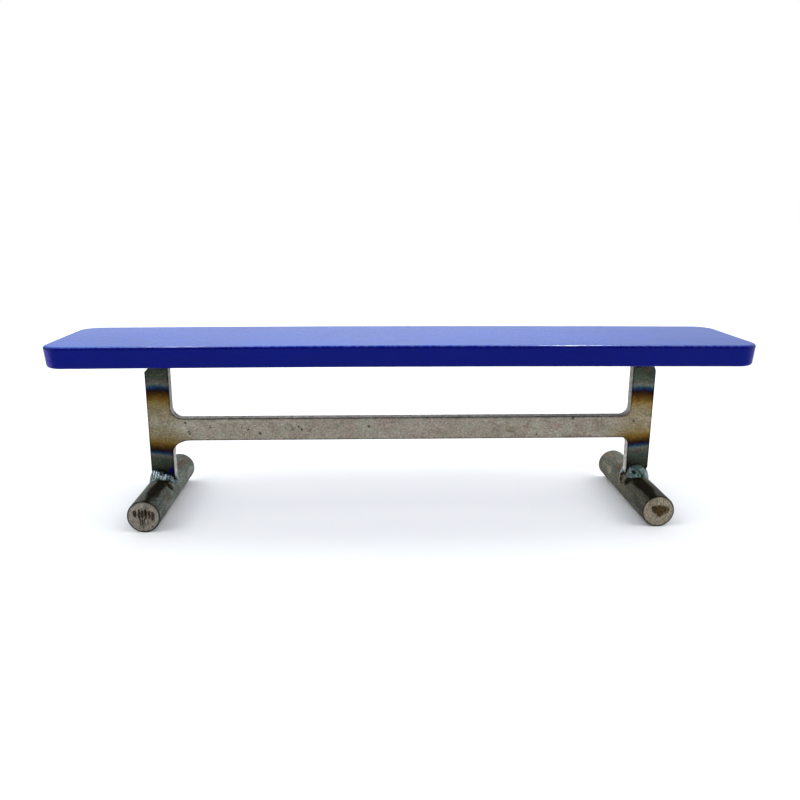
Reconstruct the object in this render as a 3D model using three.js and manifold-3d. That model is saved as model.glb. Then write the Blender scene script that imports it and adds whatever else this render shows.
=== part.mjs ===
// A miniature park bench for finger skateboarding, welded from plain steel stock:
// a flat bar for the top, one cut sheet for the legs and crossbar, and two round bars for feet.
//
// Units are millimetres. X runs along the top plate, Y from front to back, Z up.
// The origin is on the surface that the bench stands on, below the middle of the plate.

import * as THREE from "three";
import { mergeVertices } from "three/addons/utils/BufferGeometryUtils.js";
import Module from "manifold-3d";

const wasm = await Module();
wasm.setup();

// Top plate: quarter inch flat bar, one and a half inches wide, cut to eight inches.
const plateLength = 203.2;
const plateWidth = 38.1;
const plateThickness = 6.35;
const plateCornerRadius = 6;
const plateEdgeRadius = 0.8;
// How far each side leans in towards the underside.
const plateEdgeLean = 0.4;
const plateTopHeight = 53.6;

// Frame: two legs and a crossbar cut in one piece from ten gauge sheet.
const sheetThickness = 3.42;
const frameTopHalfWidth = 77.8;
const frameBottomHalfWidth = 77.5;
const legInnerFace = 70.75;
const crossbarBottom = 21.2;
const crossbarTop = 28.2;
const upperFilletRadius = 3.4;
const lowerFilletRadius = 3;
// The legs' outer corners are cut back, so that weld can fill them.
const topCornerWidth = 3.6;
const topCornerHeight = 4.3;
const bottomCornerWidth = 1.1;
const bottomCornerHeight = 1.9;

// Feet: three eighths inch round bars, one and three quarter inches long, lying front to back.
const barRadius = 4.7625;
const barLength = 44.45;
const barEndChamfer = 0.3;
// The bars are placed by eye, so each is a little off its leg's middle.
const leftBarX = -75;
const rightBarX = 74.1;

// Weld beads are egg shapes. Radii run across the bench, front to back and up, and each bead's
// middle stands a little way out from the corner that it fills.
const footBeadRadii = [3.7, 3.9, 2.5];
const footBeadOut = 0.2;
const footBeadUp = 0.4;
const sideBeadRadii = [2.1, 2.5, 2.6];
const sideBeadUp = 0.6;
const plateBeadRadii = [3.3, 3.2, 3.6];
const plateBeadOut = 0.3;
const cornerBeadRadii = [1.8, 2.6, 2.2];
// Half the size of the box that each bead is kept in.
const beadReach = 8;
// Weld metal is cut back from the steel beside it by this much.
const weldGap = 0.3;

// Roundness of the faceted curves.
const barSides = 48;
const cornerSegments = 8;
const bevelSegments = 3;
const beadSides = 18;
const beadRings = 12;

const plateUnderside = plateTopHeight - plateThickness;
const barTop = 2 * barRadius;
const sheetFace = sheetThickness / 2;

const bluePaint = { color: 0x14189c, roughness: 0.18, metalness: 0.1 };
const bareSheet = { color: 0x8a8074, roughness: 0.42, metalness: 0.9 };
const darkBar = { color: 0x4b504a, roughness: 0.45, metalness: 0.85 };
const weldMetal = { color: 0x5f7078, roughness: 0.3, metalness: 0.95 };

function solidOf(geometry) {
  const bare = geometry.clone();
  bare.deleteAttribute("normal");
  bare.deleteAttribute("uv");
  const merged = mergeVertices(bare);
  return new wasm.Manifold(new wasm.Mesh({
    numProp: 3,
    vertProperties: new Float32Array(merged.attributes.position.array),
    triVerts: new Uint32Array(merged.index.array),
  }));
}

function geometryOf(solid) {
  const mesh = solid.getMesh();
  const geometry = new THREE.BufferGeometry();
  geometry.setAttribute("position", new THREE.BufferAttribute(mesh.vertProperties, 3));
  geometry.setIndex(new THREE.BufferAttribute(mesh.triVerts, 1));
  geometry.computeVertexNormals();
  return geometry;
}

function shifted(geometry, x, y, z) {
  return geometry.clone().translate(x, y, z);
}

// A box given by its lowest and highest corners.
function boxBetween(low, high) {
  const size = high.map((value, axis) => value - low[axis]);
  const centre = high.map((value, axis) => (value + low[axis]) / 2);
  return new THREE.BoxGeometry(...size).translate(...centre);
}

function roundedRectangle(length, width, radius) {
  const x = length / 2 - radius;
  const y = width / 2 - radius;
  const shape = new THREE.Shape();
  shape.absarc(x, -y, radius, -Math.PI / 2, 0);
  shape.absarc(x, y, radius, 0, Math.PI / 2);
  shape.absarc(-x, y, radius, Math.PI / 2, Math.PI);
  shape.absarc(-x, -y, radius, Math.PI, 1.5 * Math.PI);
  shape.closePath();
  return shape;
}

function plateGeometry() {
  const inset = 2 * plateEdgeRadius;
  const outline = roundedRectangle(
    plateLength - inset,
    plateWidth - inset,
    plateCornerRadius - plateEdgeRadius,
  );
  const geometry = new THREE.ExtrudeGeometry(outline, {
    depth: plateThickness - inset,
    curveSegments: cornerSegments,
    bevelThickness: plateEdgeRadius,
    bevelSize: plateEdgeRadius,
    bevelSegments,
  });
  geometry.translate(0, 0, plateUnderside + plateEdgeRadius);
  leanEdges(geometry);
  return geometry;
}

// Draws the plate's sides in towards its underside, and leaves its rounded upper edge as it is.
function leanEdges(geometry) {
  const position = geometry.attributes.position;
  const leanTop = plateTopHeight - plateEdgeRadius;
  for (let i = 0; i < position.count; i += 1) {
    const drop = Math.max(leanTop - position.getZ(i), 0) / plateThickness;
    position.setX(i, position.getX(i) * (1 - (drop * 2 * plateEdgeLean) / plateLength));
    position.setY(i, position.getY(i) * (1 - (drop * 2 * plateEdgeLean) / plateWidth));
  }
  geometry.computeVertexNormals();
}

// The right half of the frame's outline, from the middle of its lower edge round to the
// middle of its upper edge. The left half is its mirror image.
function halfFrameOutline() {
  const lowerCentre = legInnerFace - lowerFilletRadius;
  const upperCentre = legInnerFace - upperFilletRadius;
  const path = new THREE.Path();
  path.moveTo(0, crossbarBottom);
  path.lineTo(lowerCentre, crossbarBottom);
  path.absarc(lowerCentre, crossbarBottom - lowerFilletRadius, lowerFilletRadius, Math.PI / 2, 0, true);
  path.lineTo(legInnerFace, barTop);
  path.lineTo(frameBottomHalfWidth - bottomCornerWidth, barTop);
  path.lineTo(frameBottomHalfWidth, barTop + bottomCornerHeight);
  path.lineTo(frameTopHalfWidth, plateUnderside - topCornerHeight);
  path.lineTo(frameTopHalfWidth - topCornerWidth, plateUnderside);
  path.lineTo(legInnerFace, plateUnderside);
  path.absarc(upperCentre, crossbarTop + upperFilletRadius, upperFilletRadius, 0, -Math.PI / 2, true);
  path.lineTo(0, crossbarTop);
  return path.getPoints(cornerSegments);
}

function frameGeometry() {
  const rightHalf = halfFrameOutline();
  const leftHalf = rightHalf.slice(1, -1).reverse().map((point) => new THREE.Vector2(-point.x, point.y));
  const outline = new THREE.Shape([...rightHalf, ...leftHalf]);
  const geometry = new THREE.ExtrudeGeometry(outline, { depth: sheetThickness, bevelEnabled: false });
  geometry.rotateX(Math.PI / 2);
  geometry.translate(0, sheetFace, 0);
  return geometry;
}

// A round bar along Y, with flat facets at its top and bottom.
function barGeometry(centreX, radius) {
  const cornerRadius = radius / Math.cos(Math.PI / barSides);
  const end = barLength / 2;
  const profile = [
    new THREE.Vector2(0, -end),
    new THREE.Vector2(cornerRadius - barEndChamfer, -end),
    new THREE.Vector2(cornerRadius, barEndChamfer - end),
    new THREE.Vector2(cornerRadius, end - barEndChamfer),
    new THREE.Vector2(cornerRadius - barEndChamfer, end),
    new THREE.Vector2(0, end),
  ];
  const geometry = new THREE.LatheGeometry(profile, barSides);
  geometry.rotateY(Math.PI / barSides);
  geometry.translate(centreX, 0, barRadius);
  return geometry;
}

// Height of a bar's surface above the floor, this far to the side of its middle.
function barHeightAt(offset) {
  return barRadius + Math.sqrt(barRadius * barRadius - offset * offset);
}

// A bead of weld metal: an egg shape, less the steel round it, kept inside a box.
function beadGeometry(centre, radii, cutters, low, high) {
  const egg = new THREE.SphereGeometry(1, beadSides, beadRings);
  egg.scale(...radii);
  egg.translate(...centre);
  let bead = solidOf(egg).intersect(solidOf(boxBetween(low, high)));
  for (const cutter of cutters) {
    bead = bead.subtract(solidOf(cutter));
  }
  return geometryOf(bead);
}

const group = new THREE.Group();

function addPart(name, geometry, look) {
  const mesh = new THREE.Mesh(geometry, new THREE.MeshStandardMaterial(look));
  mesh.name = name;
  group.add(mesh);
}

const plate = plateGeometry();
const frame = frameGeometry();
addPart("top_plate", plate, bluePaint);
addPart("bench_frame", frame, bareSheet);

// The beads that join one leg's foot to its bar. Side is -1 on the left and 1 on the right.
function addFootWelds(name, side, barX) {
  const bar = barGeometry(barX, barRadius + weldGap);
  const legMiddle = side * (legInnerFace + frameBottomHalfWidth) / 2;
  const low = [legMiddle - beadReach, -beadReach, 0];
  const high = [legMiddle + beadReach, beadReach, plateUnderside];

  for (const [place, way] of [["front", -1], ["rear", 1]]) {
    const centre = [(legMiddle + barX) / 2, way * (sheetFace + footBeadOut), barTop + footBeadUp];
    const boxLow = way < 0 ? low : [low[0], sheetFace + weldGap, 0];
    const boxHigh = way < 0 ? [high[0], -sheetFace - weldGap, plateUnderside] : high;
    const bead = beadGeometry(centre, footBeadRadii, [bar], boxLow, boxHigh);
    addPart(`${name}_weld_${place}`, bead, weldMetal);
  }

  const sides = [["inner", -side, side * legInnerFace], ["outer", side, side * frameBottomHalfWidth]];
  for (const [place, way, faceX] of sides) {
    const centre = [faceX, 0, barHeightAt(faceX - barX) + sideBeadUp];
    const boxLow = [way > 0 ? faceX + weldGap : low[0], -sheetFace, 0];
    const boxHigh = [way > 0 ? high[0] : faceX - weldGap, sheetFace, plateUnderside];
    const bead = beadGeometry(centre, sideBeadRadii, [bar], boxLow, boxHigh);
    addPart(`${name}_weld_${place}`, bead, weldMetal);
  }
}

// The beads that join one leg's head to the underside of the plate.
function addPlateWelds(name, side) {
  const legMiddle = side * (legInnerFace + frameTopHalfWidth - topCornerWidth / 2) / 2;
  const ceiling = plateUnderside - weldGap;

  for (const [place, way] of [["front", -1], ["rear", 1]]) {
    const centre = [legMiddle, way * (sheetFace + plateBeadOut), plateUnderside - plateBeadOut];
    const boxLow = [legMiddle - beadReach, way < 0 ? -beadReach : sheetFace + weldGap, 0];
    const boxHigh = [legMiddle + beadReach, way < 0 ? -sheetFace - weldGap : beadReach, ceiling];
    const bead = beadGeometry(centre, plateBeadRadii, [], boxLow, boxHigh);
    addPart(`${name}_weld_${place}`, bead, weldMetal);
  }

  const cornerX = side * (frameTopHalfWidth - topCornerWidth / 2);
  const centre = [cornerX, 0, plateUnderside - topCornerHeight / 4];
  const leg = shifted(frame, side * weldGap, 0, 0);
  const boxLow = [cornerX - beadReach, -sheetFace, 0];
  const boxHigh = [cornerX + beadReach, sheetFace, ceiling];
  const bead = beadGeometry(centre, cornerBeadRadii, [leg], boxLow, boxHigh);
  addPart(`${name}_weld_outer`, bead, weldMetal);
}

for (const [word, side, barX] of [["left", -1, leftBarX], ["right", 1, rightBarX]]) {
  addPart(`${word}_foot_bar`, barGeometry(barX, barRadius), darkBar);
  addFootWelds(`${word}_foot`, side, barX);
  addPlateWelds(`${word}_plate`, side);
}

export default group;
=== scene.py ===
import math

import bmesh
import bpy
from mathutils import Matrix, Vector, noise
from mathutils.kdtree import KDTree


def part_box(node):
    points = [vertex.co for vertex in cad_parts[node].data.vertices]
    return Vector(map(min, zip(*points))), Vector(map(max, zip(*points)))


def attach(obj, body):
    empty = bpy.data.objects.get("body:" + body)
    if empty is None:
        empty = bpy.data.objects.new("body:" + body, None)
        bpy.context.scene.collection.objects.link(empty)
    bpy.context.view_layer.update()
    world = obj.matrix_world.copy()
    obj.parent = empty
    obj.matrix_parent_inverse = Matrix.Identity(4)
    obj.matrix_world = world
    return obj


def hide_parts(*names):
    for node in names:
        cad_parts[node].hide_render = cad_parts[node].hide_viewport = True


# A small welded steel bench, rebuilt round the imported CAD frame. The shapes below are worked out
# in millimetres and written to the meshes in metres.

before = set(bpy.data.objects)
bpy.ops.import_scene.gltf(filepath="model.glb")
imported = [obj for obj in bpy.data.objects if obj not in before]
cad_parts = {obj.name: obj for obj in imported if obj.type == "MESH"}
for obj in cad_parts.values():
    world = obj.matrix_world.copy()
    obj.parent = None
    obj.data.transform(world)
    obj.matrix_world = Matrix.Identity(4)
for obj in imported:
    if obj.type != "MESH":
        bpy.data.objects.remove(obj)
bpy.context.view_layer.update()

MM = 0.001


def box_mm(node):
    low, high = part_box(node)
    return low / MM, high / MM


# ---------------------------------------------------------------- camera

CAMERA_PLACE = Vector((-9.78, -230.45, 90.01)) * MM
# In radians.
CAMERA_YAW = 0.0385
CAMERA_PITCH = 0.2411
CAMERA_ROLL = 0.0037
# In millimetres of a real camera.
CAMERA_LENS = 34.64
CAMERA_SENSOR = 36
# The nearest and farthest places that the camera sees, in metres.
CAMERA_REACH = (0.01, 50)


def make_camera():
    data = bpy.data.cameras.new("camera")
    data.sensor_width = CAMERA_SENSOR
    data.lens = CAMERA_LENS
    data.clip_start, data.clip_end = CAMERA_REACH
    camera = bpy.data.objects.new("camera", data)
    turn = Matrix.Rotation(-CAMERA_YAW, 4, "Z")
    tilt = Matrix.Rotation(math.pi / 2 - CAMERA_PITCH, 4, "X")
    roll = Matrix.Rotation(CAMERA_ROLL, 4, "Z")
    camera.matrix_world = Matrix.Translation(CAMERA_PLACE) @ turn @ tilt @ roll
    bpy.context.scene.collection.objects.link(camera)
    bpy.context.scene.camera = camera


make_camera()

# ---------------------------------------------------------------- sizes, in millimetres

plate_low, plate_high = box_mm("top_plate")
sheet_low, sheet_high = box_mm("bench_frame")
PLATE_UNDERSIDE = plate_low.z
PLATE_TOP = plate_high.z
PLATE_CORNER = 6.0
PLATE_TOP_ROUND = 0.8
PLATE_BOTTOM_ROUND = 1.0
# How much narrower the plate is at its underside, on each side.
PLATE_LEAN = 0.4
# How far the welding has pulled the plate's ends down.
PLATE_BOW = 0.33
# Points on the flat faces lie about this far apart.
PLATE_GRID = 2.0
SHEET_GRID = 1.0

SHEET_HALF = sheet_high.y
SHEET_EDGE_ROUND = 0.2
RIM_WIDTH = 0.28
BOTTOM_CORNER_HEIGHT = 1.9
BAR_END_ROUND = 0.25

# Points this close to a plane lie on it.
TOUCHING = 0.01


def sheet_widths():
    """The frame's heights and half widths, read from its CAD outline."""
    points = [v.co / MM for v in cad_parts["bench_frame"].data.vertices]
    right = [p for p in points if p.x > 0]
    middle = [p.z for p in points if abs(p.x) < TOUCHING]
    foot = [p.x for p in right if p.z < sheet_low.z + TOUCHING]
    head = [p.x for p in right if p.z > sheet_high.z - TOUCHING]
    return min(middle), max(middle), min(foot), max(foot), max(head)


CROSSBAR_LOW, CROSSBAR_HIGH, LEG_INNER, FOOT_OUTER, HEAD_OUTER = sheet_widths()
LEG_TOP_OUTER = sheet_high.x
LEG_BOTTOM_OUTER = 77.5
LEG_MIDDLE = (LEG_INNER + LEG_BOTTOM_OUTER) / 2


class Bar:
    """One round foot bar: where it lies, and its surface."""

    def __init__(self, node):
        low, high = box_mm(node)
        self.x = (low.x + high.x) / 2
        self.half = (high.y - low.y) / 2
        self.radius = (high.z - low.z) / 2

    def top_at(self, x):
        """The height of the bar's skin at x, or near its widest place if x lies beside the bar."""
        offset = min(abs(x - self.x), self.radius * 0.999)
        return self.radius + math.sqrt(self.radius**2 - offset**2)


# Here and below, -1 stands for the left side and 1 for the right.
BARS = {-1: Bar("left_foot_bar"), 1: Bar("right_foot_bar")}
SIDE_WORDS = {-1: "left", 1: "right"}

# ---------------------------------------------------------------- mesh helpers

# How far apart in the noise two neighbouring seeds lie.
SEED_STEPS = (7.3, 3.1, 5.7)


def wobble(point, scale, seed):
    """Smooth noise from -1 to 1 that repeats the same way each run."""
    return noise.noise(Vector(point) * scale + Vector([seed * step for step in SEED_STEPS]))


def uneven(amount, point, scale, seed):
    """A factor that strays from 1 by no more than this amount."""
    return 1 + amount * wobble(point, scale, seed)


def add_piece(name, bm, material, node):
    """Turns a bmesh in millimetres into a piece that stands for the CAD node."""
    bmesh.ops.recalc_face_normals(bm, faces=bm.faces)
    bmesh.ops.scale(bm, vec=(MM, MM, MM), verts=bm.verts)
    mesh = bpy.data.meshes.new(name)
    bm.to_mesh(mesh)
    bm.free()
    mesh.polygons.foreach_set("use_smooth", [True] * len(mesh.polygons))
    mesh.materials.append(material)
    piece = bpy.data.objects.new(name, mesh)
    bpy.context.scene.collection.objects.link(piece)
    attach(piece, "root")
    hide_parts(node)


def arc(cx, cy, radius, start, end, count):
    """Points on an arc, angles in degrees, both ends included."""
    angles = [math.radians(start + (end - start) * i / count) for i in range(count + 1)]
    return [(cx + radius * math.cos(a), cy + radius * math.sin(a)) for a in angles]


def dense(corners, step):
    """The closed outline with points added along its straight stretches."""
    points = []
    for i, start in enumerate(corners):
        a = Vector(start)
        b = Vector(corners[(i + 1) % len(corners)])
        count = max(1, round((b - a).length / step))
        points.extend(a.lerp(b, k / count) for k in range(count))
    return points


def inset_outline(points, distance):
    """The outline moved inwards. It runs anticlockwise."""
    moved = []
    count = len(points)
    for i, point in enumerate(points):
        before = (point - points[i - 1]).normalized()
        after = (points[(i + 1) % count] - point).normalized()
        inward = Vector((-before.y - after.y, before.x + after.x)).normalized()
        reach = distance / max(0.5, inward.dot(Vector((-after.y, after.x))))
        moved.append(point + inward * reach)
    return moved


def bridge(bm, loops):
    """Joins each closed loop of points to the next by a band of faces."""
    count = len(loops[0])
    for near, far in zip(loops, loops[1:]):
        for i in range(count):
            j = (i + 1) % count
            bm.faces.new((near[i], near[j], far[j], far[i]))


def slab(outline, levels, place, grid_step):
    """A closed plate with rounded edges. Levels are (inset, height) rings from its back to its front.

    place turns (u, v, height) into a point. Both faces are cut into a grid, so that they can be shaped.
    """
    bm = bmesh.new()
    rings = []
    for inset, height in levels:
        ring = inset_outline(outline, inset)
        rings.append([bm.verts.new(place(p.x, p.y, height)) for p in ring])
    bridge(bm, rings)
    bm.faces.new(list(reversed(rings[0])))
    bm.faces.new(rings[-1])
    bmesh.ops.recalc_face_normals(bm, faces=bm.faces)
    cut_grid(bm, grid_step)
    return bm


# A direction with fewer grid steps than this is the thickness, and isn't cut.
FEWEST_STEPS = 4


def cut_grid(bm, step):
    """Cuts every large flat face along evenly spaced planes across its two longest directions."""
    for axis in range(3):
        values = [v.co[axis] for v in bm.verts]
        low, high = min(values), max(values)
        count = round((high - low) / step)
        if count < FEWEST_STEPS:
            continue
        normal = Vector([1.0 if k == axis else 0.0 for k in range(3)])
        for i in range(1, count):
            faces = [f for f in bm.faces if len(f.verts) > 4 or f.calc_area() > step * step * 1.5]
            edges = {e for f in faces for e in f.edges}
            verts = {v for f in faces for v in f.verts}
            bmesh.ops.bisect_plane(
                bm,
                geom=list(verts) + list(edges) + faces,
                plane_co=normal * (low + (high - low) * i / count),
                plane_no=normal,
                dist=1e-4,
            )


def quarter_round(radius, steps):
    """(inset, depth) pairs round a quarter circle, from the flank to the face."""
    turns = [math.pi / 2 * i / steps for i in range(steps + 1)]
    return [(radius - radius * math.cos(a), radius - radius * math.sin(a)) for a in turns]


# ---------------------------------------------------------------- material helpers


class Nodes:
    """A node tree, with a short call for each kind of node that is used here."""

    def __init__(self, owner):
        owner.use_nodes = True
        self.tree = owner.node_tree
        self.tree.nodes.clear()

    def node(self, kind, inputs=None, **settings):
        made = self.tree.nodes.new(kind)
        for key, value in settings.items():
            setattr(made, key, value)
        for key, value in (inputs or {}).items():
            self.feed(made.inputs[key], value)
        return made

    def feed(self, socket, value):
        if isinstance(value, bpy.types.NodeSocket):
            self.tree.links.new(value, socket)
        else:
            socket.default_value = value

    def split(self, vector):
        return self.node("ShaderNodeSeparateXYZ", {"Vector": vector}).outputs

    def math(self, operation, *values, clamp=False):
        made = self.node("ShaderNodeMath", operation=operation, use_clamp=clamp)
        for socket, value in zip(made.inputs, values):
            self.feed(socket, value)
        return made.outputs[0]

    def plus(self, first, second):
        return self.math("ADD", first, second)

    def minus(self, first, second):
        return self.math("SUBTRACT", first, second)

    def times(self, first, second, clamp=False):
        return self.math("MULTIPLY", first, second, clamp=clamp)

    def larger(self, first, second):
        return self.math("MAXIMUM", first, second)

    def smaller(self, first, second):
        return self.math("MINIMUM", first, second)

    def fit(self, value, from_low, from_high, to_low=0.0, to_high=1.0, curve="LINEAR"):
        """The value moved from one range to the other, and held at the ends."""
        ends = {"From Min": from_low, "From Max": from_high, "To Min": to_low, "To Max": to_high}
        made = self.node("ShaderNodeMapRange", {"Value": value, **ends}, interpolation_type=curve)
        return made.outputs["Result"]

    def fade(self, *values):
        """Like fit, but it starts and ends softly."""
        return self.fit(*values, curve="SMOOTHSTEP")


class Shader(Nodes):
    """A material whose patterns are placed in millimetres of the object's own frame."""

    def __init__(self, name):
        self.material = bpy.data.materials.new(name)
        super().__init__(self.material)
        place = self.node("ShaderNodeTexCoord").outputs["Object"]
        self.position = self.vector("MULTIPLY", place, (1 / MM, 1 / MM, 1 / MM))
        self.x, self.y, self.z = self.split(self.position)

    def vector(self, operation, *values):
        made = self.node("ShaderNodeVectorMath", operation=operation)
        for socket, value in zip(made.inputs, values):
            self.feed(socket, value)
        return made.outputs[0]

    def stretched(self, x, y, z):
        return self.vector("MULTIPLY", self.position, (x, y, z))

    def distance_to(self, point):
        away = self.vector("SUBTRACT", self.position, point)
        return self.node("ShaderNodeVectorMath", {"Vector": away}, operation="LENGTH").outputs["Value"]

    def by_side(self, left=0.0, right=1.0):
        """One value on the bench's left half and another on its right."""
        return self.fit(self.x, -1.0, 1.0, left, right)

    def noise(self, scale, vector=None, detail=3.0, roughness=0.5, distortion=0.0):
        made = self.node(
            "ShaderNodeTexNoise",
            {
                "Vector": vector or self.position,
                "Scale": scale,
                "Detail": detail,
                "Roughness": roughness,
                "Distortion": distortion,
            },
        )
        return made.outputs["Fac"]

    def vary(self, pattern, low, high, spread=0.15):
        """From low to high as a noise pattern goes from the spread below its middle to as far above."""
        return self.fit(pattern, 0.5 - spread, 0.5 + spread, low, high)

    def cells(self, scale):
        """The distance to the middle of each cell, and a chance value of the cell's own."""
        made = self.node("ShaderNodeTexVoronoi", {"Vector": self.position, "Scale": scale})
        return made.outputs["Distance"], self.split(made.outputs["Color"])[0]

    def specks(self, scale, least_chance, near, far):
        """From 1 in the middle of each cell that is chosen to 0 around it."""
        distance, chance = self.cells(scale)
        chosen = self.math("GREATER_THAN", chance, least_chance)
        return self.times(self.fade(distance, near, far, 1.0, 0.0), chosen)

    def ramp(self, factor, stops):
        made = self.node("ShaderNodeValToRGB", {"Fac": factor})
        points = made.color_ramp.elements
        while len(points) < len(stops):
            points.new(0.5)
        for point, (position, colour) in zip(points, stops):
            point.position = position
            point.color = (*colour, 1.0)
        return made.outputs["Color"]

    def mix(self, factor, first, second, blend="MIX"):
        made = self.node("ShaderNodeMix", data_type="RGBA", blend_type=blend)
        self.feed(made.inputs[0], factor)
        for socket, value in ((made.inputs[6], first), (made.inputs[7], second)):
            self.feed(socket, (*value, 1.0) if isinstance(value, tuple) else value)
        return made.outputs[2]

    def tinted(self, colour, tint):
        """The colour times another colour."""
        return self.mix(1.0, colour, tint, blend="MULTIPLY")

    def shade(self, colour, factor):
        """The colour times a grey value."""
        grey = self.node("ShaderNodeCombineColor", {"Red": factor, "Green": factor, "Blue": factor})
        return self.tinted(colour, grey.outputs[0])

    def mottled(self, colour, pattern, low, high, spread=0.15):
        """The colour, darkened and lightened along a noise pattern."""
        return self.shade(colour, self.vary(pattern, low, high, spread))

    def attribute(self, name):
        return self.node("ShaderNodeAttribute", attribute_name=name).outputs["Fac"]

    def bump(self, height, distance, normal=None, strength=1.0):
        inputs = {"Height": height, "Distance": distance * MM, "Strength": strength}
        if normal is not None:
            inputs["Normal"] = normal
        return self.node("ShaderNodeBump", inputs).outputs["Normal"]

    def finish(self, colour, metallic, roughness, ior, normal=None):
        """Ends the tree in a Principled shader, and returns the material."""
        inputs = {"Base Color": colour, "Metallic": metallic, "Roughness": roughness, "IOR": ior}
        if normal is not None:
            inputs["Normal"] = normal
        surface = self.node("ShaderNodeBsdfPrincipled", inputs)
        self.node("ShaderNodeOutputMaterial", {"Surface": surface.outputs["BSDF"]})
        return self.material


# ---------------------------------------------------------------- materials

BARE_STEEL = (0.29, 0.262, 0.222)
# Colour of the bare sheet by distance, in millimetres, past the blue-black line of the heat tint.
HEAT_COLOURS = [
    (-10.0, (0.021, 0.024, 0.018)),
    (-7.0, (0.034, 0.037, 0.031)),
    (-4.6, (0.047, 0.057, 0.048)),
    (-3.2, (0.064, 0.062, 0.053)),
    (-2.1, (0.092, 0.096, 0.083)),
    (-1.6, (0.058, 0.078, 0.083)),
    (-1.1, (0.015, 0.037, 0.068)),
    (-0.6, (0.009, 0.017, 0.056)),
    (-0.1, (0.009, 0.006, 0.012)),
    (0.5, (0.022, 0.010, 0.004)),
    (1.2, (0.044, 0.022, 0.006)),
    (2.1, (0.085, 0.046, 0.010)),
    (3.0, (0.138, 0.082, 0.019)),
    (3.7, (0.176, 0.126, 0.042)),
    (4.8, (0.200, 0.162, 0.078)),
    (6.5, (0.220, 0.190, 0.118)),
    (9.0, (0.252, 0.225, 0.158)),
    (12.0, BARE_STEEL),
]
HEAT_LOW = HEAT_COLOURS[0][0]
HEAT_HIGH = HEAT_COLOURS[-1][0]
# Height of the blue-black line on a leg: at the bench's middle, and its change per millimetre of X.
UPPER_TINT_LINE, UPPER_TINT_SLOPE = 36.65, -0.5 / 74.0
LOWER_TINT_LINE, LOWER_TINT_SLOPE = 18.85, 0.7 / 74.0
# Larger pits in the sheet's front face: x, z and radius.
FRONT_PITS = [
    (-66.6, 26.9, 0.30),
    (-65.6, 24.1, 0.38),
    (-65.4, 23.3, 0.30),
    (-59.1, 25.4, 0.32),
    (-49.5, 25.2, 0.26),
    (-47.6, 24.6, 0.32),
    (-44.0, 23.4, 0.42),
    (-33.9, 24.7, 0.30),
    (-32.1, 25.5, 0.36),
    (-31.2, 24.6, 0.38),
    (-10.5, 25.4, 0.36),
    (41.7, 22.5, 0.28),
    (52.8, 27.7, 0.46),
    (71.9, 26.5, 0.36),
]
# About half a leg's width.
LEG_HALF = 3.5
# How far the line bows up a leg's head and tilts on its foot, from the leg's middle to its side.
HEAD_BOW, HEAD_BOW_LIMIT = 0.38, 1.3
FOOT_TILT = 0.4
# How fast the colours follow each other at the foot and along the crossbar, against the head.
FOOT_PACE = 1.25
CROSSBAR_PACE = 0.8
# The leg's corner that the weld has turned deep blue, and its colour.
BLUED_CORNER = (-71.3, -SHEET_HALF, 11.4)
DEEP_BLUE = (0.007, 0.007, 0.15)
STAIN = (0.62, 0.54, 0.44)
PIT = (0.035, 0.026, 0.018)
# Oxide and dull cut steel shine only faintly.
OXIDE_IOR = 1.08
CUT_STEEL = (0.37, 0.355, 0.325)
CUT_STEEL_DULL = (0.475, 0.44, 0.34)

PAINT_IOR = 1.15
# Painted light and shade on one blue paint: the flank and top colours are shaded and lit copies of it.
PAINT_SHADED_FLANK = (0.0005, 0.0052, 0.155)
# Painted reflection: the darker blue just under the plate's top edge.
PAINT_DARK_REFLECTION = (0.0002, 0.0018, 0.118)
PAINT_LIT_TOP = (0.003, 0.046, 0.35)
# Painted light: the paler blue of the band round each front corner.
PAINT_CORNER_LIGHT = (0.045, 0.042, 0.30)
PAINT_SPECK = (-75.7, 9.8, PLATE_TOP)
# How far in from each end of the plate the painted band of light round its front corner lies.
CORNER_LIGHT_BAND = 2.7

# The dark strip along each bar's top, partly burnt scale and partly a painted reflection of the leg above:
# its offset and half width at the bar's middle, the same at its front, and how much of it is left behind
# the leg.
SCORCH_AND_REFLECTION_STRIPS = {-1: ((1.3, 1.3), (1.1, 0.45), 0.25), 1: ((-1.1, 1.3), (-1.6, 0.75), 0.0)}
# The colour of that strip and of the spots below: burnt scale with painted reflection and shade.
SCORCH_AND_PAINTED_SHADE = (0.008, 0.0065, 0.0025)
# The dark spots beside the front foot beads, partly burnt and partly painted shade in the crevices there:
# centre and radius.
BURN_AND_SHADE_SPOTS = [((-71.4, -5.6, 7.8), 1.3), ((70.6, -4.6, 8.2), 1.7)]
# A bar's "end" attribute is 0 on its skin, this on its rounded rim, and 0.5 to 1 on the sawn face.
END_RIM = 0.45
RUST = {-1: (0.024, 0.016, 0.007), 1: (0.050, 0.030, 0.010)}

DOME_TEAL = (0.062, 0.098, 0.088)


def heat_distance(shader):
    """How far each point is past the blue-black line, away from the nearest weld."""
    aside = shader.math("ABSOLUTE", shader.x)
    across = shader.math("DIVIDE", shader.minus(aside, LEG_MIDDLE), LEG_HALF)
    bow = shader.smaller(shader.times(across, across), HEAD_BOW_LIMIT)
    inward = shader.larger(shader.minus(LEG_INNER - 0.5, aside), 0.0)
    waves = shader.vary(shader.noise(0.5), -0.14, 0.14, 0.2)
    upper_line = shader.math("MULTIPLY_ADD", shader.x, UPPER_TINT_SLOPE, UPPER_TINT_LINE)
    upper = shader.minus(upper_line, shader.z)
    upper = shader.minus(upper, shader.times(bow, HEAD_BOW))
    lower_line = shader.math("MULTIPLY_ADD", shader.x, LOWER_TINT_SLOPE, LOWER_TINT_LINE)
    lower_line = shader.plus(lower_line, shader.times(across, FOOT_TILT))
    lower = shader.times(shader.minus(shader.z, lower_line), FOOT_PACE)
    nearest = shader.plus(shader.smaller(upper, lower), shader.times(inward, CROSSBAR_PACE))
    return shader.plus(nearest, waves)


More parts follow.
